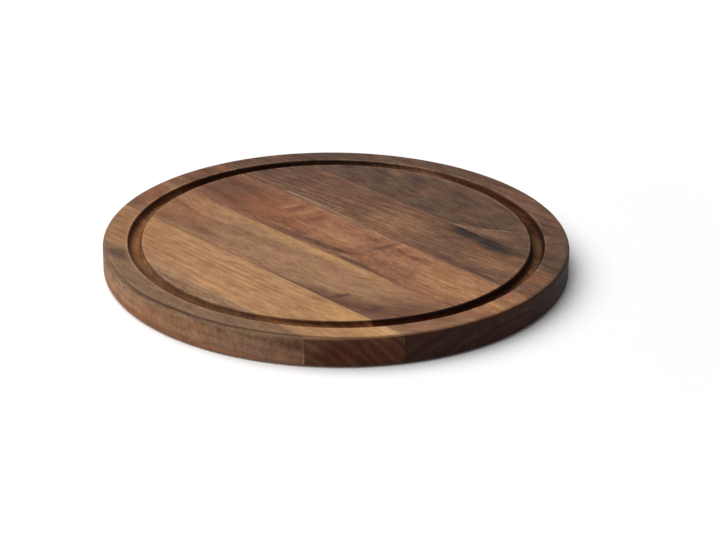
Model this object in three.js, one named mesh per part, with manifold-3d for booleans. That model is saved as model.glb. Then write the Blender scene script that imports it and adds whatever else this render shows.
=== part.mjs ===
// Round wooden steak plate: staves glued edge to edge, then turned with a rim, a juice groove and rounded edges.
import * as THREE from "three";
import { mergeVertices, toCreasedNormals } from "three/addons/utils/BufferGeometryUtils.js";
import Module from "manifold-3d";

// Driving dimensions in millimetres. The plate lies on Z = 0, centred on the origin, and its staves run along X.
const PLATE_DIAMETER = 280;
const PLATE_THICKNESS = 18;
const TOP_EDGE_RADIUS = 2;
const BOTTOM_EDGE_RADIUS = 3;
const RIM_WIDTH = 15;
const GROOVE_WIDTH = 8;
const GROOVE_DEPTH = 5;
const GROOVE_LIP_RADIUS = 1;
const STAVE_WIDTH = 43.5;
const STAVE_SHIFT = 1.75;
const GLUE_THICKNESS = 0.2;
const BLANK_ALLOWANCE = 10;

// Facets of the turned form.
const TURN_STEPS = 128;
const EDGE_STEPS = 5;
const LIP_STEPS = 4;
const GROOVE_STEPS = 12;
const CREASE_ANGLE = Math.PI / 6;

// Wood and glue colours. The first stave is the one at the front, at the lowest Y.
const STAVE_COLOURS = ["#7a5a45", "#a97c53", "#8a6a50", "#8c6045", "#755a4b", "#665043", "#6e5142"];
const GLUE_COLOUR = "#4a3426";
const WOOD_ROUGHNESS = 0.6;
const GLUE_ROUGHNESS = 0.5;

const plateRadius = PLATE_DIAMETER / 2;
const grooveOuterRadius = plateRadius - RIM_WIDTH;
const grooveInnerRadius = grooveOuterRadius - GROOVE_WIDTH;

const wasm = await Module();
wasm.setup();

// Points of an arc in the turning profile, from one angle to another.
function arc(centreRadius, centreHeight, radius, from, to, steps) {
  const points = [];
  for (let i = 0; i <= steps; i++) {
    const angle = THREE.MathUtils.lerp(from, to, i / steps);
    const across = centreRadius + radius * Math.cos(angle);
    const up = centreHeight + radius * Math.sin(angle);
    points.push(new THREE.Vector2(across, up));
  }
  return points;
}

// The groove's round floor, from its outer wall to its inner wall. A deep groove has upright walls above it.
function grooveFloor() {
  const halfWidth = GROOVE_WIDTH / 2;
  const wallDepth = Math.max(GROOVE_DEPTH - halfWidth, GROOVE_LIP_RADIUS);
  const rise = GROOVE_DEPTH - wallDepth;
  const radius = (halfWidth ** 2 + rise ** 2) / (2 * rise);
  const sweep = Math.asin(Math.min(halfWidth / radius, 1));
  const centreRadius = (grooveInnerRadius + grooveOuterRadius) / 2;
  const centreHeight = PLATE_THICKNESS - GROOVE_DEPTH + radius;
  const down = -Math.PI / 2;
  return arc(centreRadius, centreHeight, radius, down + sweep, down - sweep, GROOVE_STEPS);
}

// Half section of the plate, from the centre of the underside round to the centre of the top.
function plateProfile() {
  const top = PLATE_THICKNESS;
  const quarter = Math.PI / 2;
  const bottomCentre = plateRadius - BOTTOM_EDGE_RADIUS;
  const topCentre = plateRadius - TOP_EDGE_RADIUS;
  const lipHeight = top - GROOVE_LIP_RADIUS;
  const outerLip = grooveOuterRadius + GROOVE_LIP_RADIUS;
  const innerLip = grooveInnerRadius - GROOVE_LIP_RADIUS;
  return [
    new THREE.Vector2(0, 0),
    ...arc(bottomCentre, BOTTOM_EDGE_RADIUS, BOTTOM_EDGE_RADIUS, -quarter, 0, EDGE_STEPS),
    ...arc(topCentre, top - TOP_EDGE_RADIUS, TOP_EDGE_RADIUS, 0, quarter, EDGE_STEPS),
    ...arc(outerLip, lipHeight, GROOVE_LIP_RADIUS, quarter, 2 * quarter, LIP_STEPS),
    ...grooveFloor(),
    ...arc(innerLip, lipHeight, GROOVE_LIP_RADIUS, 0, quarter, LIP_STEPS),
    new THREE.Vector2(0, top),
  ];
}

// A closed three.js geometry as a solid that can be cut.
function solidFrom(geometry) {
  const bare = geometry.clone();
  bare.deleteAttribute("normal");
  bare.deleteAttribute("uv");
  const merged = mergeVertices(bare);
  const vertProperties = merged.attributes.position.array;
  const triVerts = new Uint32Array(merged.index.array);
  return new wasm.Manifold(new wasm.Mesh({ numProp: 3, vertProperties, triVerts }));
}

// A cut solid as a three.js geometry with crisp edges.
function geometryFrom(solid) {
  const { vertProperties, triVerts } = solid.getMesh();
  const geometry = new THREE.BufferGeometry();
  geometry.setAttribute("position", new THREE.BufferAttribute(vertProperties, 3));
  geometry.setIndex(new THREE.BufferAttribute(triVerts, 1));
  return toCreasedNormals(geometry, CREASE_ANGLE);
}

// The whole turned form, as it would be without joints.
function turnedPlate() {
  const lathe = new THREE.LatheGeometry(plateProfile(), TURN_STEPS);
  lathe.rotateX(Math.PI / 2);
  return solidFrom(lathe);
}

// A sawn bar of the glued-up blank, which stands proud of the plate at both ends, above and below.
function blankBar(low, high) {
  const end = plateRadius + BLANK_ALLOWANCE;
  const section = new THREE.Shape();
  section.moveTo(-end, low);
  section.lineTo(end, low);
  section.lineTo(end, high);
  section.lineTo(-end, high);
  section.closePath();
  const depth = PLATE_THICKNESS + 2 * BLANK_ALLOWANCE;
  const bar = new THREE.ExtrudeGeometry(section, { depth, bevelEnabled: false });
  bar.translate(0, 0, -BLANK_ALLOWANCE);
  return solidFrom(bar);
}

// Places of the joints across the plate. The blank has as many whole staves as it takes to cover the plate.
function jointPlaces() {
  const cover = PLATE_DIAMETER + 2 * Math.abs(STAVE_SHIFT);
  const staves = Math.ceil(cover / STAVE_WIDTH);
  const places = [];
  for (let i = 1; i < staves; i++) {
    places.push((i - staves / 2) * STAVE_WIDTH + STAVE_SHIFT);
  }
  return places;
}

// The staves at the front and back edge are segments of the round plate. Those between them are counted.
function staveName(i, last) {
  if (i === 0) return "front_edge_stave";
  if (i === last) return "back_edge_stave";
  return `stave_${i}`;
}

function addPiece(group, name, solid, color, roughness) {
  const material = new THREE.MeshStandardMaterial({ color, roughness, metalness: 0 });
  const mesh = new THREE.Mesh(geometryFrom(solid), material);
  mesh.name = name;
  group.add(mesh);
}

// Every stave and glue line is its own bar of the blank, turned with the others as one.
function steakPlate() {
  const plate = new THREE.Group();
  plate.name = "steak_plate";
  const turned = turnedPlate();
  const joints = jointPlaces();
  const edge = plateRadius + BLANK_ALLOWANCE;
  const halfGlue = GLUE_THICKNESS / 2;
  const starts = [-edge, ...joints.map((joint) => joint + halfGlue)];
  const ends = [...joints.map((joint) => joint - halfGlue), edge];
  starts.forEach((start, i) => {
    const stave = turned.intersect(blankBar(start, ends[i]));
    const colour = STAVE_COLOURS[i % STAVE_COLOURS.length];
    addPiece(plate, staveName(i, joints.length), stave, colour, WOOD_ROUGHNESS);
  });
  joints.forEach((joint, i) => {
    const glue = turned.intersect(blankBar(joint - halfGlue, joint + halfGlue));
    addPiece(plate, `glue_line_${i + 1}`, glue, GLUE_COLOUR, GLUE_ROUGHNESS);
  });
  return plate;
}

export default steakPlate();
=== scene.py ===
# Looks of the round wooden steak plate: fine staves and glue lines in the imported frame, walnut, soft light.
import math
from dataclasses import dataclass, field

import bmesh
import bpy
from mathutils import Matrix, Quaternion, Vector


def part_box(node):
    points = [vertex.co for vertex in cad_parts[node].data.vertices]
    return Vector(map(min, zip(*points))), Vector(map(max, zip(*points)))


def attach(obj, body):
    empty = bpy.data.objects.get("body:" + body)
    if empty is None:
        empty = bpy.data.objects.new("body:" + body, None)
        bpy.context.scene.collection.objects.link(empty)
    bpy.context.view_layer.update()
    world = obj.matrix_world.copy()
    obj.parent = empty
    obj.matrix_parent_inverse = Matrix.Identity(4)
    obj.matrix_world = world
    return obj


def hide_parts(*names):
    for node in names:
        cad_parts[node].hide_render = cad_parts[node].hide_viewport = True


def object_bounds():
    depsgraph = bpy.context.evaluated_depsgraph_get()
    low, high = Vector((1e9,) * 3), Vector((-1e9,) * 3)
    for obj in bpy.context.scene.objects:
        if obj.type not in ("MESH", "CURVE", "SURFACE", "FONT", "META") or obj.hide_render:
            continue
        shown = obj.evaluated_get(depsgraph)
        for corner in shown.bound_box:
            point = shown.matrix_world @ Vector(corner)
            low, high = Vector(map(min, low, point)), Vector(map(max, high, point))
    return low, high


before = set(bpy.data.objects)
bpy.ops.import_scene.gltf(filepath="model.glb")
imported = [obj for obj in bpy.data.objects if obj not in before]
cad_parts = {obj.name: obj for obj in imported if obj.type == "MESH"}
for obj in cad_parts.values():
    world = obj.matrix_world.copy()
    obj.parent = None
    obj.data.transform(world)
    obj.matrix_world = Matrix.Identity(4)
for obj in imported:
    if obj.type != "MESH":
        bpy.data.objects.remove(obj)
cad_low, cad_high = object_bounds()

# Sizes in metres. The frame gives the plate's radius and thickness, and the staves' places.
MM = 0.001
PLATE_RADIUS = cad_high.x
PLATE_THICKNESS = cad_high.z
TOP_EDGE_RADIUS = 2 * MM
BOTTOM_EDGE_RADIUS = 3 * MM
RIM_WIDTH = 15 * MM
GROOVE_WIDTH = 8 * MM
GROOVE_DEPTH = 5 * MM
GROOVE_LIP_RADIUS = 1 * MM
TURN_STEPS = 480
EDGE_STEPS = 12
LIP_STEPS = 8
GROOVE_STEPS = 24

# The side wall has a loop this far from each rounded edge, which keeps its shading even.
WALL_SUPPORT = 0.25 * MM

# Tolerances in metres, for faces that lie level and for cuts.
SAME_HEIGHT = 1e-9
CUT_TOLERANCE = 1e-8

# Camera of the photograph's view.
CAMERA_AIM = Vector((0.04358, -0.02312, PLATE_THICKNESS))
CAMERA_AZIMUTH = 46.44
CAMERA_ELEVATION = 24.39
CAMERA_DISTANCE = 1.3858
CAMERA_ROLL = 0.85
CAMERA_LENS = 119.36
CAMERA_SENSOR = 36.0

# Studio.
KEY_AZIMUTH = -47.0
KEY_ELEVATION = 62.0
KEY_DISTANCE = 6.0
KEY_SIZE = 8.4
KEY_POWER = 552.0
FILL_STRENGTH = 0.08
FLOOR_HALF = 4.0
FLOOR_COLOUR = (0.98, 0.98, 0.98, 1)
FLOOR_LIFT = 0.04
FLOOR_NEAR = 0.2
FLOOR_FAR = 0.32


def direction(azimuth, elevation):
    """Unit vector towards a place round the plate. Azimuth 0 is the front, at -Y."""
    a, e = math.radians(azimuth), math.radians(elevation)
    return Vector((math.sin(a) * math.cos(e), -math.cos(a) * math.cos(e), math.sin(e)))


def linear(code):
    """A hex colour as linear RGBA."""
    parts = [int(code[i:i + 2], 16) / 255 for i in (1, 3, 5)]
    return tuple(c / 12.92 if c <= 0.04045 else ((c + 0.055) / 1.055) ** 2.4 for c in parts) + (1,)


def arc(centre, height, radius, start, end, steps):
    """Points of an arc in the turning profile, as distance from the axis and height."""
    turn = [math.radians(start + (end - start) * i / steps) for i in range(steps + 1)]
    return [(centre + radius * math.cos(t), height + radius * math.sin(t)) for t in turn]


def turning_profile():
    """Half section of the plate, from the flat underside round to the flat serving face."""
    top = PLATE_THICKNESS
    outer = PLATE_RADIUS - RIM_WIDTH
    inner = outer - GROOVE_WIDTH
    lip = GROOVE_LIP_RADIUS
    floor_radius = GROOVE_WIDTH / 2
    floor_height = top - GROOVE_DEPTH + floor_radius
    bottom_centre = PLATE_RADIUS - BOTTOM_EDGE_RADIUS
    top_centre = PLATE_RADIUS - TOP_EDGE_RADIUS
    wall_low = BOTTOM_EDGE_RADIUS + WALL_SUPPORT
    wall_high = top - TOP_EDGE_RADIUS - WALL_SUPPORT
    return [
        *arc(bottom_centre, BOTTOM_EDGE_RADIUS, BOTTOM_EDGE_RADIUS, -90, 0, EDGE_STEPS),
        (PLATE_RADIUS, wall_low),
        (PLATE_RADIUS, wall_high),
        *arc(top_centre, top - TOP_EDGE_RADIUS, TOP_EDGE_RADIUS, 0, 90, EDGE_STEPS),
        *arc(outer + lip, top - lip, lip, 90, 180, LIP_STEPS),
        *arc((inner + outer) / 2, floor_height, floor_radius, 0, -180, GROOVE_STEPS),
        *arc(inner - lip, top - lip, lip, 0, 90, LIP_STEPS),
    ]


def turned_plate():
    """The whole turned form as a bmesh. Flat faces are shaded flat and the turned ones smooth."""
    bm = bmesh.new()
    rings = []
    for radius, height in turning_profile():
        ring = []
        for i in range(TURN_STEPS):
            a = 2 * math.pi * i / TURN_STEPS
            ring.append(bm.verts.new((radius * math.cos(a), radius * math.sin(a), height)))
        rings.append(ring)
    for lower, upper in zip(rings, rings[1:]):
        level = abs(lower[0].co.z - upper[0].co.z) < SAME_HEIGHT
        for i in range(TURN_STEPS):
            j = (i + 1) % TURN_STEPS
            face = bm.faces.new((lower[i], lower[j], upper[j], upper[i]))
            face.smooth = not level
    bm.faces.new(list(reversed(rings[0])))
    bm.faces.new(rings[-1])
    return bm


def cut(bm, place, keep_above):
    """Cuts the form along the staves at a place across the plate, and closes it with a flat cheek."""
    geom = bm.verts[:] + bm.edges[:] + bm.faces[:]
    made = bmesh.ops.bisect_plane(
        bm, geom=geom, dist=CUT_TOLERANCE, plane_co=(0, place, 0), plane_no=(0, 1, 0),
        clear_inner=keep_above, clear_outer=not keep_above,
    )
    edges = [e for e in made["geom_cut"] if isinstance(e, bmesh.types.BMEdge)]
    for edge in edges:
        edge.smooth = False
    bmesh.ops.edgeloop_fill(bm, edges=edges)


def add_piece(node, name, material):
    """A fine copy of one stave or glue line, between the planes that its CAD node lies between."""
    low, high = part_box(node)
    bm = turned_plate()
    if low.y > cad_low.y + MM:
        cut(bm, low.y, keep_above=True)
    if high.y < cad_high.y - MM:
        cut(bm, high.y, keep_above=False)
    bmesh.ops.recalc_face_normals(bm, faces=bm.faces[:])
    mesh = bpy.data.meshes.new(name)
    bm.to_mesh(mesh)
    bm.free()
    mesh.materials.append(material)
    piece = bpy.data.objects.new(name, mesh)
    bpy.context.scene.collection.objects.link(piece)
    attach(piece, "root")
    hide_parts(node)


# Wood tones that the patches and streaks are drawn in.
BLOND = "#cda47a"
HONEY = "#c0925f"
PALE = "#b4977a"
TAN = "#a97a55"
MAUVE = "#9c7460"
ROSE = "#9a6e53"
BRICK = "#aa6240"
RUST = "#8a5638"
CHESTNUT = "#63402f"
STAIN = "#53301f"
UMBER = "#42301f"
OLIVE = "#4d402f"
PLUM = "#452f2b"
SOOT = "#24160e"


@dataclass
class Mark:
    """A patch or streak in the wood: its place, half sizes and turn, in millimetres and degrees."""
    x: float
    y: float
    length: float
    width: float
    turn: float
    tone: str
    strength: float
    z: float = PLATE_THICKNESS / MM
    depth: float = 16


@dataclass
class Stave:
    """How one stave was sawn from the log, in millimetres, with its colours and its figure."""
    node: str
    dark: str
    middle: str
    light: str
    # Where the log's pith lies across and above the plate, and how far apart the growth rings are.
    pith: tuple
    rings: float
    # How the fibres run: their slope, a bend from a place on, a tilt in height and a wander.
    slope: float = 0
    bend: float = 0
    bend_from: float = 0
    tilt: float = 0
    wander: float = 6
    # How strongly each kind of figure shows.
    ring_depth: float = 0.2
    end_grain: float = 1.0
    end_figure: float = 0.04
    blotches: float = 0.9
    streaks: float = 0.55
    flecks: float = 0.9
    rays: float = 0.6
    patches: float = 0.6
    marks: list = field(default_factory=list)


STAVES = [
    Stave(
        "front_edge_stave", dark="#6b4e3a", middle="#977456", light="#b48f6c", pith=(-128, -46), rings=5,
        end_grain=0.42, streaks=0.8, flecks=0.55, rays=0.8,
        marks=[
            Mark(-30, -127, 110, 50, 0, ROSE, 0.6, z=4, depth=11),
            # Painted highlight: a lighter band along the middle of the front wall.
            Mark(-40, -130, 80, 40, 0, TAN, 0.85, z=9, depth=6),
            Mark(70, -125, 40, 30, 0, ROSE, 0.5, z=4, depth=11),
            # Painted shade: the front wall darker towards the bottom.
            Mark(0, -130, 85, 60, 0, RUST, 0.75, z=2, depth=6),
            Mark(85, -111, 17, 14, 0, CHESTNUT, 0.6, z=13.5, depth=6),
            Mark(89.5, -107.5, 4, 0.6, 0, PALE, 0.9, z=5, depth=4),
            Mark(-68, -113, 16, 7, 0, PLUM, 0.55, depth=5),
            Mark(20, -133, 55, 30, 0, RUST, 0.5, z=13, depth=4),
            Mark(-30, -136, 24, 30, 0, MAUVE, 0.35, z=12.5, depth=4),
            Mark(58, -124, 42, 40, 0, MAUVE, 0.45, z=6.5, depth=6),
            Mark(79, -114, 16, 13, 0, MAUVE, 0.9, z=4, depth=6),
            Mark(82, -112, 13, 10, 0, TAN, 0.75, z=5, depth=5),
        ],
    ),
    Stave(
        "stave_1", dark="#8f6544", middle="#ae825b", light="#c89b6f", pith=(-150, -50), rings=3.2, wander=2,
        ring_depth=0.15, end_grain=0.95, end_figure=0.09, blotches=1.3, streaks=0.45, flecks=0.2, rays=0.25,
        marks=[
            Mark(95, -72, 50, 16, 0, HONEY, 0.75),
            Mark(104, -66, 20, 5, 0, BLOND, 0.4),
            Mark(112, -84, 42, 38, 0, BRICK, 0.9, z=9, depth=9),
            Mark(93, -103, 12, 8, 0, BLOND, 0.8, z=13, depth=5),
            Mark(-85, -86, 55, 26, 0, RUST, 0.32),
            Mark(-58, -98, 16, 8, 0, ROSE, 0.6),
            Mark(0, -78.5, 70, 0.9, 0, RUST, 0.4),
            Mark(-5, -83, 65, 0.9, 0, RUST, 0.45),
            Mark(-30, -92.5, 50, 0.9, 0, RUST, 0.4),
            Mark(58, -67.6, 11, 1.5, 7, RUST, 0.75),
            Mark(62, -72, 6, 1.2, 24, CHESTNUT, 0.4),
            Mark(28, -75, 6, 1.6, 0, RUST, 0.4),
            Mark(-30, -102, 40, 6, 0, ROSE, 0.35),
        ],
    ),
    Stave(
        "stave_2", dark="#74523f", middle="#997253", light="#b58c64", pith=(-48, -46), rings=5, bend=0.004,
        bend_from=30, blotches=0.9, streaks=0.25, patches=0.5,
        marks=[
            Mark(5, -22, 75, 9, 0, HONEY, 0.5),
            Mark(-75, -23, 50, 8, 0, HONEY, 0.3),
            Mark(55, -26, 34, 6, 4, HONEY, 0.35),
            Mark(60, -60, 42, 7, 0, CHESTNUT, 0.6),
            Mark(46, -23.4, 9, 2.0, 0, BLOND, 0.6),
            Mark(-75, -53, 45, 10, 0, CHESTNUT, 0.5),
            Mark(-98, -57, 16, 8, 0, CHESTNUT, 0.6),
            Mark(-62, -54, 16, 5, 0, PLUM, 0.3),
            Mark(-95, -42, 45, 22, 0, RUST, 0.5),
            Mark(-128, -38, 22, 14, 0, RUST, 0.7),
            Mark(-124, -57, 12, 13, 0, CHESTNUT, 0.65),
            Mark(-60, -62.3, 45, 1.1, 0, UMBER, 0.4),
            Mark(45, -62.3, 60, 1.6, 0, UMBER, 0.55),
            Mark(88, -56, 52, 14, 8, CHESTNUT, 0.85),
            Mark(108, -36, 38, 22, 18, CHESTNUT, 0.85),
            Mark(62.7, -55.2, 9, 3.4, 70, PLUM, 0.75),
            Mark(88.6, -54, 10, 5, 84, PLUM, 0.6),
            Mark(95, -23, 24, 0.9, 4, RUST, 0.45),
            Mark(92, -28, 24, 0.9, 10, RUST, 0.45),
            Mark(90, -33, 22, 0.9, 14, RUST, 0.4),
            Mark(84, -38, 24, 1.1, 20, CHESTNUT, 0.4),
            Mark(98, -42, 14, 1.4, 22, UMBER, 0.35),
            Mark(122, -48, 14, 14, 0, ROSE, 0.5),
        ],
    ),
    Stave(
        "stave_3", dark="#623d2c", middle="#8d5f45", light="#b68661", pith=(10, -60), rings=5,
        ring_depth=0.15, blotches=1.1, flecks=1.0, rays=0.7,
        marks=[
            Mark(-96, 2, 64, 30, 0, CHESTNUT, 0.95),
            Mark(-52, 2, 46, 26, 0, RUST, 0.8),
            Mark(-26, -17, 42, 5, 3, CHESTNUT, 0.85),
            Mark(-40, -8, 14, 8, 0, PLUM, 0.3),
            Mark(95, 3, 40, 24, 0, HONEY, 0.35),
            Mark(70, -15, 36, 5, 0, TAN, 0.5),
            Mark(130, 4, 14, 22, 0, HONEY, 0.2),
            Mark(2, 0, 26, 10, 8, TAN, 0.75),
            Mark(-54.5, 11, 12, 3, 73, TAN, 0.6),
            Mark(-48.5, 13, 11, 2.4, 85, CHESTNUT, 0.6),
            Mark(-41, 11, 15, 3.4, 71, TAN, 0.6),
            Mark(-29, 9.5, 10, 4.5, 53, CHESTNUT, 0.7),
            Mark(9, -3, 14, 1.4, 15, RUST, 0.6),
            Mark(5, -8, 12, 1.2, 15, RUST, 0.5),
            Mark(30.2, 12, 15, 3.2, 80, CHESTNUT, 0.9),
            Mark(4, -13.7, 11, 4.5, 0, PLUM, 0.65),
            Mark(16, -12.3, 11, 2.6, 10, UMBER, 0.85),
            Mark(28, -6.5, 11, 2.0, 35, CHESTNUT, 0.6),
            Mark(48, -6, 22, 1.5, -4, CHESTNUT, 0.6),
            Mark(35, -17.2, 24, 3.2, 0, UMBER, 0.75),
            Mark(60, -18.2, 22, 2.0, 0, UMBER, 0.5),
            Mark(24.7, -14.5, 10, 2.0, 4, MAUVE, 0.85),
            Mark(85, 0, 30, 0.9, 0, CHESTNUT, 0.6),
            Mark(92, -2.6, 26, 0.8, 0, CHESTNUT, 0.45),
            Mark(78, -9, 34, 0.9, 0, CHESTNUT, 0.45),
            Mark(74, -13, 40, 0.9, 2, CHESTNUT, 0.35),
            Mark(80, 11, 15, 8, 0, RUST, 0.5),
        ],
    ),
    Stave(
        "stave_4", dark="#4b3425", middle="#714f3b", light="#906a4e", pith=(86, -50), rings=2.6, slope=0.08,
        end_grain=0.98, streaks=0.3, flecks=1.0, rays=0.75, patches=0.9,
        marks=[
            Mark(-100, 45, 40, 26, 0, PLUM, 0.5),
            Mark(-92, 42, 9, 5, 20, RUST, 0.3),
            Mark(-40, 46, 40, 14, 4, CHESTNUT, 0.25),
            Mark(8, 44, 26, 20, 0, TAN, 0.35),
            Mark(-50, 26, 30, 2.3, 0, PALE, 0.45),
            Mark(-18, 25, 24, 1.5, 0, PALE, 0.38),
            Mark(60, 60, 40, 12, 0, UMBER, 0.5),
            Mark(38, 62, 14, 7, 0, UMBER, 0.55),
            Mark(47.5, 64.3, 17, 7, -4, SOOT, 1.3),
            Mark(73, 62, 21, 9.5, -6, SOOT, 1.3),
            Mark(90, 64.5, 20, 5, 0, UMBER, 0.8),
            Mark(78.5, 55.5, 6, 3.4, 40, OLIVE, 0.6),
            Mark(118, 63.5, 22, 6.5, 0, UMBER, 0.9),
            Mark(121, 46.5, 12, 6, 0, RUST, 0.6),
            Mark(92, 42, 26, 9, 0, TAN, 0.35),
            Mark(78, 53, 26, 4, 0, RUST, 0.35),
            Mark(43, 37, 12, 5, 0, OLIVE, 0.35),
            Mark(63, 28, 11, 4, 4, PLUM, 0.75),
            Mark(82, 26, 24, 3.2, 0, PLUM, 0.7),
            Mark(101, 26, 16, 2.8, 0, PLUM, 0.65),
            Mark(93, 29.5, 12, 1.2, 14, PLUM, 0.5),
        ],
    ),
    Stave(
        "stave_5", dark="#3a281c", middle="#5a4131", light="#745640", pith=(88, -34), rings=3.4, tilt=0.1,
        ring_depth=0.12, blotches=1.2, streaks=0.45, flecks=1.15, rays=0.8, patches=1.0,
        marks=[
            Mark(-45, 83, 18, 12, 0, OLIVE, 0.4),
            Mark(-34, 98, 12, 8, -30, PLUM, 0.5),
            Mark(-50, 97, 9, 4, 0, TAN, 0.2),
            Mark(-8, 73, 34, 6, 0, OLIVE, 0.4),
            Mark(-80, 86, 40, 20, 0, PLUM, 0.35),
            Mark(50, 95, 18, 14, 20, OLIVE, 0.2),
            Mark(-16, 85, 8, 3, 50, RUST, 0.25),
            Mark(58, 73.5, 26, 6, 12, ROSE, 0.45),
            Mark(40, 69.2, 9, 1.1, 12, PALE, 0.6),
            Mark(57, 79.6, 22, 0.9, 34, PALE, 0.35),
            Mark(58, 82.5, 20, 1.3, 34, UMBER, 0.35),
            Mark(70, 78.4, 16, 1.0, 20, UMBER, 0.35),
            Mark(70, 104, 40, 14, 0, STAIN, 0.5, z=13.5, depth=4.5),
        ],
    ),
    Stave(
        "back_edge_stave", dark="#463024", middle="#694a39", light="#84614b", pith=(70, -60), rings=5,
        patches=0.9,
        marks=[
            Mark(28, 130, 18, 8, 0, RUST, 0.2),
            Mark(-22, 130, 24, 4, 0, OLIVE, 0.3),
            Mark(60, 124, 14, 5, 0, PLUM, 0.4),
            Mark(10, 121, 80, 8, 0, STAIN, 0.6, z=13.5, depth=4.5),
        ],
    ),
]

# Tints that multiply the wood's colour, and the pale tone of worn lips. The end grain, groove and rim tints
# also carry painted shade, the groove's lightening tint is painted light, and the lips' pale tone is partly a
# painted highlight.
END_GRAIN_AND_SHADE_TINT = (0.098, 0.054, 0.047, 1)
GROOVE_STAIN_AND_SHADE_TINT = (0.44, 0.36, 0.31, 1)
WARM_GROOVE_STAIN_AND_SHADE_TINT = (0.45, 0.31, 0.20, 1)
GROOVE_PAINTED_LIGHT_TINT = (2.30, 2.20, 1.95, 1)
RIM_PAINTED_SHADE_TINT = (0.68, 0.68, 0.70, 1)
BURNT_TINT = (0.24, 0.18, 0.16, 1)
PLUM_TINT = (0.74, 0.62, 0.62, 1)
OLIVE_TINT = (0.74, 0.76, 0.68, 1)
LIP_WEAR_AND_HIGHLIGHT = "#b89a7a"
SPECULAR = 0.12
GROOVE_SPECULAR = 0.035

# Places on the turned form in millimetres, for the materials.
TOP = PLATE_THICKNESS / MM
ROUND_START = (PLATE_RADIUS - TOP_EDGE_RADIUS) / MM
GROOVE_OUTER = (PLATE_RADIUS - RIM_WIDTH) / MM
GROOVE_INNER = GROOVE_OUTER - GROOVE_WIDTH / MM
GROOVE_FLOOR = TOP - GROOVE_DEPTH / MM
LIP = GROOVE_LIP_RADIUS / MM

# Stretches of the groove where painted light lifts the stain and painted shade: middle and half length in
# degrees, and how much.
PAINTED_LIGHT_STRETCHES = (
    (-162, 22, 0.7),
    (-140, 16, 0.2),
    (-44, 23, 0.5),
    (-24, 18, 1.0),
    (36, 24, 0.3),
    (126, 30, 0.9),
    (168, 24, 0.12),
)

# Other stretches, with middle and half length in degrees, and how strongly two of them show: painted light on
# the groove's inner wall, less of that painted light on one stretch of the floor, and the rim's worn edge
# with a painted highlight.
PAINTED_LIGHT_INNER_WALL = (-128, 24)
PAINTED_LIGHT_INNER_WALL_SHARE = 0.3
LESS_PAINTED_LIGHT_FLOOR = (-155, 30)
LESS_PAINTED_LIGHT_FLOOR_SHARE = 0.6
EDGE_WEAR_AND_HIGHLIGHT = (-108, 20)

# Spans round the plate in degrees: where each rises, and where it falls. The front is at -90.
# The first span below carries the painted shade on the rim's top at the front.
RIM_SHADE_FRONT = ((-135, -122), (-70, -42))
BURNT_INWARD = ((-100, -82), (-55, -35))
BURNT_FRONT = ((-122, -84), (-70, 60))

# How far a mark's outline is ragged along the fibres and swayed across them, and the most for its size.
RAGGED_REACH = 9
MOST_RAGGED = 0.35
SWAY_REACH = 3
MOST_SWAYED = 0.4

# Steps from one stave's noise to the next one's, and from one noise to another in a stave.
SEED_STEP = (310.0, 170.0, 90.0)
HEAVE_APART = (40, 70, 20)
PATCH_APART = (15, 45, 75)

# Sizes of the wood's figure in millimetres: along the fibres, across them and in height.
SWAY_SIZE = (150, 50, 50)
HEAVE_SIZE = (120, 40, 40)
BROAD_SIZE = (70, 16, 16)
MOTTLE_SIZE = (15, 6, 6)
FIBRE_SIZE = (48, 2.2, 2.2)
FLECK_SIZE = (7, 1.1, 1.1)
RAY_SIZE = (1.8, 1.3, 6)
PORE_SIZE = (6, 0.28, 0.28)
PATCH_SIZE = (20, 8, 8)

# How uneven the growth rings are in millimetres, half the end grain's wave in rings, and the mean tone.
RING_UNEVEN = 5.0
END_RING = 0.8
MIDDLE_TONE = 0.55

# Finish of the wood and of the glue.
WOOD_ROUGHNESS = 0.58
WOOD_RELIEF = 0.12 * MM
GLUE_ROUGHNESS = 0.35
GLUE_RELIEF = 0.05 * MM
GLUE_TONES = ("#4a3424", "#6b4d37", "#8d6c4e")
GLUE_CLOUD_SIZE = (9, 3, 3)


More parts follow.
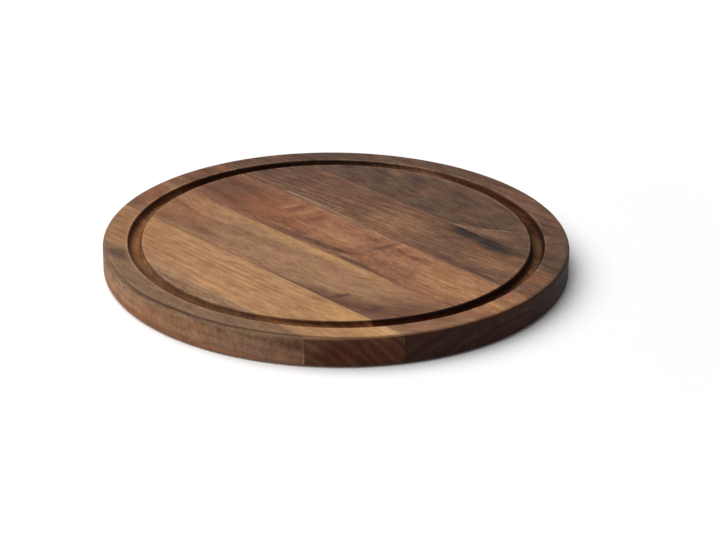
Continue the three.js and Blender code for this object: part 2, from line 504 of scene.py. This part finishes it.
class Wiring:
    """Short calls that put nodes into one material. A value is a number, vector, colour or socket."""

    def __init__(self, name):
        self.material = bpy.data.materials.new(name)
        self.material.use_nodes = True
        self.nodes = self.material.node_tree.nodes
        self.links = self.material.node_tree.links
        self.shader = self.nodes["Principled BSDF"]

    def put(self, value, socket):
        if isinstance(value, bpy.types.NodeSocket):
            self.links.new(value, socket)
        else:
            socket.default_value = value

    def math(self, operation, *values):
        node = self.nodes.new("ShaderNodeMath")
        node.operation = operation
        for value, socket in zip(values, node.inputs):
            self.put(value, socket)
        return node.outputs[0]

    def product(self, first, *others):
        for other in others:
            first = self.math("MULTIPLY", first, other)
        return first

    def vector(self, operation, *values):
        node = self.nodes.new("ShaderNodeVectorMath")
        node.operation = operation
        for value, socket in zip(values, node.inputs):
            self.put(value, socket)
        return node.outputs["Value" if operation == "LENGTH" else "Vector"]

    def split(self, vector):
        node = self.nodes.new("ShaderNodeSeparateXYZ")
        self.put(vector, node.inputs[0])
        return node.outputs

    def join(self, *values):
        node = self.nodes.new("ShaderNodeCombineXYZ")
        for value, socket in zip(values, node.inputs):
            self.put(value, socket)
        return node.outputs[0]

    def smooth(self, value, low, high, to_low=0.0, to_high=1.0):
        node = self.nodes.new("ShaderNodeMapRange")
        node.interpolation_type = "SMOOTHSTEP"
        for item, socket in zip((value, low, high, to_low, to_high), node.inputs):
            self.put(item, socket)
        return node.outputs["Result"]

    def noise(self, vector, size, detail=2.0, roughness=0.5):
        """Noise whose blotches are about as large as the size along each axis."""
        stretched = self.vector("DIVIDE", vector, size)
        node = self.nodes.new("ShaderNodeTexNoise")
        self.put(stretched, node.inputs["Vector"])
        node.inputs["Scale"].default_value = 1.0
        node.inputs["Detail"].default_value = detail
        node.inputs["Roughness"].default_value = roughness
        return node.outputs["Fac"]

    def mix(self, factor, first, second, blend="MIX"):
        node = self.nodes.new("ShaderNodeMix")
        node.data_type = "RGBA"
        node.blend_type = blend
        self.put(factor, node.inputs[0])
        self.put(first, node.inputs[6])
        self.put(second, node.inputs[7])
        return node.outputs[2]

    def ramp(self, factor, *colours):
        node = self.nodes.new("ShaderNodeValToRGB")
        stops = node.color_ramp.elements
        for _ in colours[2:]:
            stops.new(0.5)
        for i, colour in enumerate(colours):
            stops[i].position = i / (len(colours) - 1)
            stops[i].color = linear(colour)
        self.put(factor, node.inputs[0])
        return node.outputs["Color"]

    def scaled(self, vector, level):
        """A vector or colour times a level."""
        node = self.nodes.new("ShaderNodeVectorMath")
        node.operation = "SCALE"
        self.put(vector, node.inputs[0])
        self.put(level, node.inputs["Scale"])
        return node.outputs["Vector"]

    def relief(self, height, depth):
        """Gives the shader a fine relief."""
        node = self.nodes.new("ShaderNodeBump")
        node.inputs["Distance"].default_value = depth
        self.put(height, node.inputs["Height"])
        self.put(node.outputs["Normal"], self.shader.inputs["Normal"])

    def total(self, start, *terms):
        """Start plus every weight times its value."""
        value = start
        for weight, term in terms:
            value = self.math("MULTIPLY_ADD", term, weight, value)
        return value


def mark_mask(w, mark, place, fibre, mottle):
    """Where one mark shows: ragged along the fibres, a little swayed, and fading into the wood's depth."""
    node = w.nodes.new("ShaderNodeMapping")
    node.vector_type = "TEXTURE"
    w.put(place, node.inputs["Vector"])
    node.inputs["Location"].default_value = (mark.x, mark.y, mark.z)
    node.inputs["Rotation"].default_value = (0, 0, math.radians(mark.turn))
    node.inputs["Scale"].default_value = (mark.length, mark.width, mark.depth)
    reach = min(RAGGED_REACH / mark.length, MOST_RAGGED)
    sway = min(SWAY_REACH / mark.width, MOST_SWAYED)
    ragged = w.join(w.total(-reach, (2 * reach, fibre)), w.total(-sway, (2 * sway, mottle)), 0.0)
    local = w.vector("ADD", node.outputs["Vector"], ragged)
    mask = w.smooth(w.vector("LENGTH", local), 0.2, 1.1, 1.0, 0.0)
    return w.product(mask, w.math("MULTIPLY_ADD", fibre, 0.9, 0.55), mark.strength)


def ring_mask(w, out, radius, half):
    """1 on a circle of the turned form, fading to 0 at half its width."""
    return w.smooth(w.math("ABSOLUTE", w.math("SUBTRACT", out, radius)), 0.0, half, 1.0, 0.0)


def stretch_mask(w, angle, middle, half):
    """1 along a stretch of the turned form, in degrees round the plate, fading to 0 at its ends."""
    return w.smooth(w.math("ABSOLUTE", w.math("SUBTRACT", angle, middle)), 0.4 * half, half, 1.0, 0.0)


def span_mask(w, angle, rise, fall):
    """1 along a span round the plate that rises over one pair of angles and falls over another."""
    return w.product(w.smooth(angle, *rise), w.smooth(angle, *fall, 1.0, 0.0))


def lips_wear_and_highlight(w, colour, x, angle, z, out, mottle):
    """Both lips of the groove are a little worn and carry a painted highlight, most at -X, and so does the
    rim's edge at the front left.
    """
    outer = ring_mask(w, out, GROOVE_OUTER + LIP, LIP)
    inner = ring_mask(w, out, GROOVE_INNER - LIP, LIP)
    near_top = w.smooth(z, TOP - 0.8, TOP - 0.1)
    share = w.product(w.smooth(x, -60, 60, 1.0, 0.5), w.smooth(mottle, 0.35, 0.65, 0.0, 0.3))
    colour = w.mix(w.product(w.math("MAXIMUM", outer, inner), near_top, share), colour, linear(LIP_WEAR_AND_HIGHLIGHT))
    edge = w.product(ring_mask(w, out, ROUND_START - 1.0, 1.0), stretch_mask(w, angle, *EDGE_WEAR_AND_HIGHLIGHT), near_top)
    return w.mix(w.product(edge, w.smooth(mottle, 0.35, 0.65, 0.3, 0.8)), colour, linear(LIP_WEAR_AND_HIGHLIGHT))


def groove_mask(w, z, out):
    """1 on the groove's walls and floor, fading to 0 over its lips."""
    inside = w.smooth(out, GROOVE_OUTER + 2 * LIP, GROOVE_OUTER + LIP)
    below = w.smooth(z, TOP - 0.1, TOP - 2.5)
    above = w.smooth(z, GROOVE_FLOOR - 2.0, GROOVE_FLOOR - 0.5)
    return w.product(inside, below, above)


def groove_stain_shade_and_light(w, colour, y, angle, out, groove, mottle):
    """Darkens the groove unevenly with juice stain and painted shade, warmest at the plate's back; painted
    light lifts some stretches, with less of it on one stretch of the floor.
    """
    stain_and_shade = w.mix(w.smooth(y, -20, 60), GROOVE_STAIN_AND_SHADE_TINT, WARM_GROOVE_STAIN_AND_SHADE_TINT)
    inner_wall = w.smooth(out, GROOVE_INNER + 1.2, GROOVE_INNER + 0.3)
    painted_light = w.product(stretch_mask(w, angle, *PAINTED_LIGHT_INNER_WALL), inner_wall, PAINTED_LIGHT_INNER_WALL_SHARE)
    for middle, half, share in PAINTED_LIGHT_STRETCHES:
        painted_light = w.math("MAXIMUM", painted_light, w.product(stretch_mask(w, angle, middle, half), share))
    below_wall = w.smooth(out, GROOVE_OUTER - 0.5, GROOVE_OUTER - 4)
    floor = w.product(stretch_mask(w, angle, *LESS_PAINTED_LIGHT_FLOOR), below_wall)
    painted_light = w.math("MULTIPLY_ADD", w.product(painted_light, floor), -LESS_PAINTED_LIGHT_FLOOR_SHARE, painted_light)
    # Painted light takes the place of the stain and painted shade along these stretches.
    stain_and_shade = w.mix(painted_light, stain_and_shade, GROOVE_PAINTED_LIGHT_TINT)
    uneven = w.smooth(mottle, 0.35, 0.65, 0.85, 1.0)
    return w.mix(w.product(groove, uneven), colour, stain_and_shade, "MULTIPLY")


def rim_painted_shade(w, colour, x, angle, z, out):
    """Painted shade darkens the rim's top: most at the front, some on its -X half, not at its +X end."""
    outside = w.smooth(out, GROOVE_OUTER + 0.8, GROOVE_OUTER + 2.5)
    rim = w.product(outside, w.smooth(z, TOP - 2.0, TOP - 0.5))
    front = span_mask(w, angle, *RIM_SHADE_FRONT)
    share = w.math("MAXIMUM", front, w.smooth(x, 50, -10, 0.0, 0.6))
    return w.mix(w.product(rim, share), colour, RIM_PAINTED_SHADE_TINT, "MULTIPLY")


def burnt_edge(w, colour, angle, z, out, mottle):
    """The cutter has burnt a line where the rounded edge starts: strong along the front, faint elsewhere."""
    inward = span_mask(w, angle, *BURNT_INWARD)
    across = w.total(w.math("SUBTRACT", out, ROUND_START + 0.4), (1.0, inward))
    section = w.join(across, w.math("SUBTRACT", z, TOP - 0.2), 0.0)
    line = w.smooth(w.vector("LENGTH", section), 0.2, 2.2, 1.0, 0.0)
    share = w.math("MULTIPLY_ADD", span_mask(w, angle, *BURNT_FRONT), 0.8, 0.1)
    uneven = w.smooth(mottle, 0.3, 0.6, 0.8, 1.1)
    return w.mix(w.product(line, share, uneven), colour, BURNT_TINT, "MULTIPLY")


def turned_tints(w, colour, normal, place, mottle, end_share=1.0):
    """What follows the turning: worn lips with a painted highlight, stained dry groove with painted shade and
    painted light, painted shade on the rim's top, burnt edge, and dark end grain with painted shade.
    """
    x, y, z = w.split(place)
    out = w.vector("LENGTH", w.join(x, y, 0.0))
    angle = w.math("DEGREES", w.math("ARCTAN2", y, x))
    colour = lips_wear_and_highlight(w, colour, x, angle, z, out, mottle)
    groove = groove_mask(w, z, out)
    colour = groove_stain_shade_and_light(w, colour, y, angle, out, groove, mottle)
    w.put(w.total(SPECULAR, (GROOVE_SPECULAR - SPECULAR, groove)), w.shader.inputs["Specular IOR Level"])
    colour = rim_painted_shade(w, colour, x, angle, z, out)
    colour = burnt_edge(w, colour, angle, z, out, mottle)
    facing = w.math("ABSOLUTE", w.split(normal)[0])
    # End grain is dark, and painted shade darkens it more towards +X, the side turned away from the key
    # light.
    end = w.product(w.smooth(facing, 0.15, 0.72), w.smooth(x, -60, 60, 0.85, 1.0), end_share)
    return w.mix(end, colour, END_GRAIN_AND_SHADE_TINT, "MULTIPLY")


def fibre_course(w, stave, place, seeded):
    """Where a point lies along, across and above the fibres, which slope, bend and wander."""
    x, y, z = w.split(place)
    bent = w.math("MAXIMUM", w.math("SUBTRACT", x, stave.bend_from), 0.0)
    rise = w.total(0.0, (stave.slope, x), (stave.bend, w.math("MULTIPLY", bent, bent)))
    sway = w.math("SUBTRACT", w.noise(seeded, SWAY_SIZE, 1.0), 0.5)
    heave = w.math("SUBTRACT", w.noise(w.vector("ADD", seeded, HEAVE_APART), HEAVE_SIZE, 1.0), 0.5)
    across = w.total(w.math("SUBTRACT", y, rise), (stave.wander, sway))
    up = w.total(z, (stave.wander, heave), (stave.tilt, x))
    return x, across, up


def log_radius(w, stave, across, up, broad):
    """Uneven distance from the log's pith."""
    aside = w.math("SUBTRACT", across, stave.pith[0])
    above = w.math("SUBTRACT", up, stave.pith[1])
    return w.total(w.vector("LENGTH", w.join(0.0, aside, above)), (RING_UNEVEN, broad))


def late_wood(w, stave, radius):
    """1 in the late wood of each growth ring, which darkens slowly and ends where the next ring starts."""
    phase = w.math("FRACT", w.math("DIVIDE", radius, stave.rings))
    return w.product(w.smooth(phase, 0.3, 0.92), w.smooth(phase, 0.92, 1.0, 1.0, 0.0))


def end_darkness(w, stave, radius, mottle):
    """How dark the end grain is: it follows the growth rings in an uneven wave."""
    half = END_RING * stave.rings
    uneven = w.total(radius, (RING_UNEVEN, mottle))
    plain = stave.end_grain - stave.end_figure
    return w.smooth(w.math("PINGPONG", uneven, half), 0.0, half, plain, stave.end_grain)


def patched(w, stave, colour, grain):
    """Plum and olive patches of colour."""
    patchy = w.noise(w.vector("ADD", grain, PATCH_APART), PATCH_SIZE, 2.0)
    colour = w.mix(w.smooth(patchy, 0.5, 0.75, 0.0, stave.patches), colour, PLUM_TINT, "MULTIPLY")
    return w.mix(w.smooth(patchy, 0.5, 0.25, 0.0, stave.patches), colour, OLIVE_TINT, "MULTIPLY")


def marked(w, stave, colour, tone, place, fibre, mottle):
    """The stave's own marks, each with the wood's grain in it."""
    figured = w.total(0.62, (0.75, tone))
    for mark in stave.marks:
        shade = w.scaled(linear(mark.tone)[:3], figured)
        colour = w.mix(mark_mask(w, mark, place, fibre, mottle), colour, shade)
    return colour


def walnut(stave, seed):
    """Oiled walnut of one stave: growth rings, fibres, ray flecks, pores, figure, and dark end grain that
    also carries painted shade.
    """
    w = Wiring(stave.node + "_walnut")
    where = w.nodes.new("ShaderNodeTexCoord")
    place = w.scaled(where.outputs["Object"], 1 / MM)
    apart = tuple(step * seed for step in SEED_STEP)
    seeded = w.vector("ADD", place, apart)
    x, across, up = fibre_course(w, stave, place, seeded)
    grain = w.vector("ADD", w.join(x, across, up), apart)

    broad = w.noise(grain, BROAD_SIZE, 2.0)
    mottle = w.noise(grain, MOTTLE_SIZE, 3.0, 0.6)
    fibre = w.noise(grain, FIBRE_SIZE, 3.0, 0.6)
    fleck = w.noise(grain, FLECK_SIZE, 2.0, 0.6)
    rays = w.noise(seeded, RAY_SIZE, 1.0)
    pores = w.smooth(w.noise(grain, PORE_SIZE, 1.0), 0.6, 0.7)
    radius = log_radius(w, stave, across, up, broad)
    late = late_wood(w, stave, radius)
    ring = w.product(late, w.smooth(broad, 0.35, 0.65, 0.4, 1.6))

    weights = (
        (0.5, broad),
        (stave.blotches, mottle),
        (stave.streaks, fibre),
        (stave.flecks, fleck),
        (stave.rays, rays),
    )
    level = MIDDLE_TONE - sum(weight for weight, _ in weights) / 2
    tone = w.total(level, *weights, (-stave.ring_depth, ring), (-0.3, pores))
    colour = w.ramp(tone, stave.dark, stave.middle, stave.light)
    colour = patched(w, stave, colour, grain)
    colour = marked(w, stave, colour, tone, place, fibre, mottle)
    end = end_darkness(w, stave, radius, mottle)
    colour = turned_tints(w, colour, where.outputs["Normal"], place, mottle, end)
    roughness = w.total(WOOD_ROUGHNESS, (0.12, fibre), (0.16, pores), (0.06, late))
    w.put(colour, w.shader.inputs["Base Color"])
    w.put(roughness, w.shader.inputs["Roughness"])
    w.relief(w.total(0.5, (0.4, fleck), (0.2, fibre), (-0.6, pores)), WOOD_RELIEF)
    return w.material


def cured_glue():
    """Thin film of cured wood glue: amber brown, uneven and a little glossier than the wood."""
    w = Wiring("cured_glue")
    where = w.nodes.new("ShaderNodeTexCoord")
    place = w.scaled(where.outputs["Object"], 1 / MM)
    cloudy = w.noise(place, GLUE_CLOUD_SIZE, 3.0)
    colour = w.ramp(cloudy, *GLUE_TONES)
    colour = turned_tints(w, colour, where.outputs["Normal"], place, cloudy)
    w.put(colour, w.shader.inputs["Base Color"])
    w.put(w.total(GLUE_ROUGHNESS, (0.2, cloudy)), w.shader.inputs["Roughness"])
    w.relief(cloudy, GLUE_RELIEF)
    return w.material


for seed, stave in enumerate(STAVES):
    add_piece(stave.node, "walnut_" + stave.node, walnut(stave, seed))
glue = cured_glue()
for i in range(1, len(STAVES)):
    add_piece(f"glue_line_{i}", f"glue_film_{i}", glue)


def add_camera():
    data = bpy.data.cameras.new("camera")
    data.sensor_width = CAMERA_SENSOR
    data.lens = CAMERA_LENS
    camera = bpy.data.objects.new("camera", data)
    bpy.context.scene.collection.objects.link(camera)
    back = direction(CAMERA_AZIMUTH, CAMERA_ELEVATION)
    camera.location = CAMERA_AIM + back * CAMERA_DISTANCE
    camera.rotation_mode = "QUATERNION"
    roll = Quaternion((0, 0, 1), math.radians(CAMERA_ROLL))
    camera.rotation_quaternion = back.to_track_quat("Z", "Y") @ roll
    bpy.context.scene.camera = camera


def add_key():
    data = bpy.data.lights.new("key", "AREA")
    data.shape = "DISK"
    data.size = KEY_SIZE
    data.energy = KEY_POWER
    lamp = bpy.data.objects.new("key", data)
    bpy.context.scene.collection.objects.link(lamp)
    towards = direction(KEY_AZIMUTH, KEY_ELEVATION)
    lamp.location = towards * KEY_DISTANCE
    lamp.rotation_mode = "QUATERNION"
    lamp.rotation_quaternion = towards.to_track_quat("Z", "Y")


def seen_rays(nodes, links):
    """1 for rays that show a background: from the camera, and from glossy and clear surfaces."""
    path = nodes.new("ShaderNodeLightPath")
    first = nodes.new("ShaderNodeMath")
    first.operation = "MAXIMUM"
    links.new(path.outputs["Is Camera Ray"], first.inputs[0])
    links.new(path.outputs["Is Glossy Ray"], first.inputs[1])
    second = nodes.new("ShaderNodeMath")
    second.operation = "MAXIMUM"
    links.new(first.outputs[0], second.inputs[0])
    links.new(path.outputs["Is Transmission Ray"], second.inputs[1])
    return second.outputs[0]


def add_world():
    world = bpy.data.worlds.new("studio")
    bpy.context.scene.world = world
    world.use_nodes = True
    nodes, links = world.node_tree.nodes, world.node_tree.links
    background = nodes["Background"]
    background.inputs["Color"].default_value = (1, 1, 1, 1)
    strength = nodes.new("ShaderNodeMapRange")
    strength.inputs["To Min"].default_value = FILL_STRENGTH
    strength.inputs["To Max"].default_value = 1.0
    links.new(seen_rays(nodes, links), strength.inputs["Value"])
    links.new(strength.outputs["Result"], background.inputs["Strength"])


def floor_material():
    """White ground that keeps the shadow near the plate and is plain white further out."""
    material = bpy.data.materials.new("ground")
    material.use_nodes = True
    nodes, links = material.node_tree.nodes, material.node_tree.links
    nodes.clear()
    output = nodes.new("ShaderNodeOutputMaterial")
    diffuse = nodes.new("ShaderNodeBsdfDiffuse")
    diffuse.inputs["Color"].default_value = FLOOR_COLOUR
    lift = nodes.new("ShaderNodeEmission")
    lift.inputs["Strength"].default_value = FLOOR_LIFT
    near = nodes.new("ShaderNodeAddShader")
    links.new(diffuse.outputs[0], near.inputs[0])
    links.new(lift.outputs[0], near.inputs[1])
    white = nodes.new("ShaderNodeEmission")
    where = nodes.new("ShaderNodeTexCoord")
    distance = nodes.new("ShaderNodeVectorMath")
    distance.operation = "LENGTH"
    links.new(where.outputs["Object"], distance.inputs[0])
    fade = nodes.new("ShaderNodeMapRange")
    fade.interpolation_type = "SMOOTHSTEP"
    fade.inputs["From Min"].default_value = FLOOR_NEAR
    fade.inputs["From Max"].default_value = FLOOR_FAR
    links.new(distance.outputs["Value"], fade.inputs["Value"])
    shown = nodes.new("ShaderNodeMixShader")
    links.new(fade.outputs["Result"], shown.inputs[0])
    links.new(near.outputs[0], shown.inputs[1])
    links.new(white.outputs[0], shown.inputs[2])
    choice = nodes.new("ShaderNodeMixShader")
    links.new(seen_rays(nodes, links), choice.inputs[0])
    links.new(diffuse.outputs[0], choice.inputs[1])
    links.new(shown.outputs[0], choice.inputs[2])
    links.new(choice.outputs[0], output.inputs["Surface"])
    return material


def add_floor():
    mesh = bpy.data.meshes.new("ground")
    half = FLOOR_HALF
    corners = [(-half, -half, 0), (half, -half, 0), (half, half, 0), (-half, half, 0)]
    mesh.from_pydata(corners, [], [(0, 1, 2, 3)])
    mesh.materials.append(floor_material())
    ground = bpy.data.objects.new("ground", mesh)
    bpy.context.scene.collection.objects.link(ground)


add_camera()
add_key()
add_world()
add_floor()
bpy.context.scene.view_settings.view_transform = "Standard"
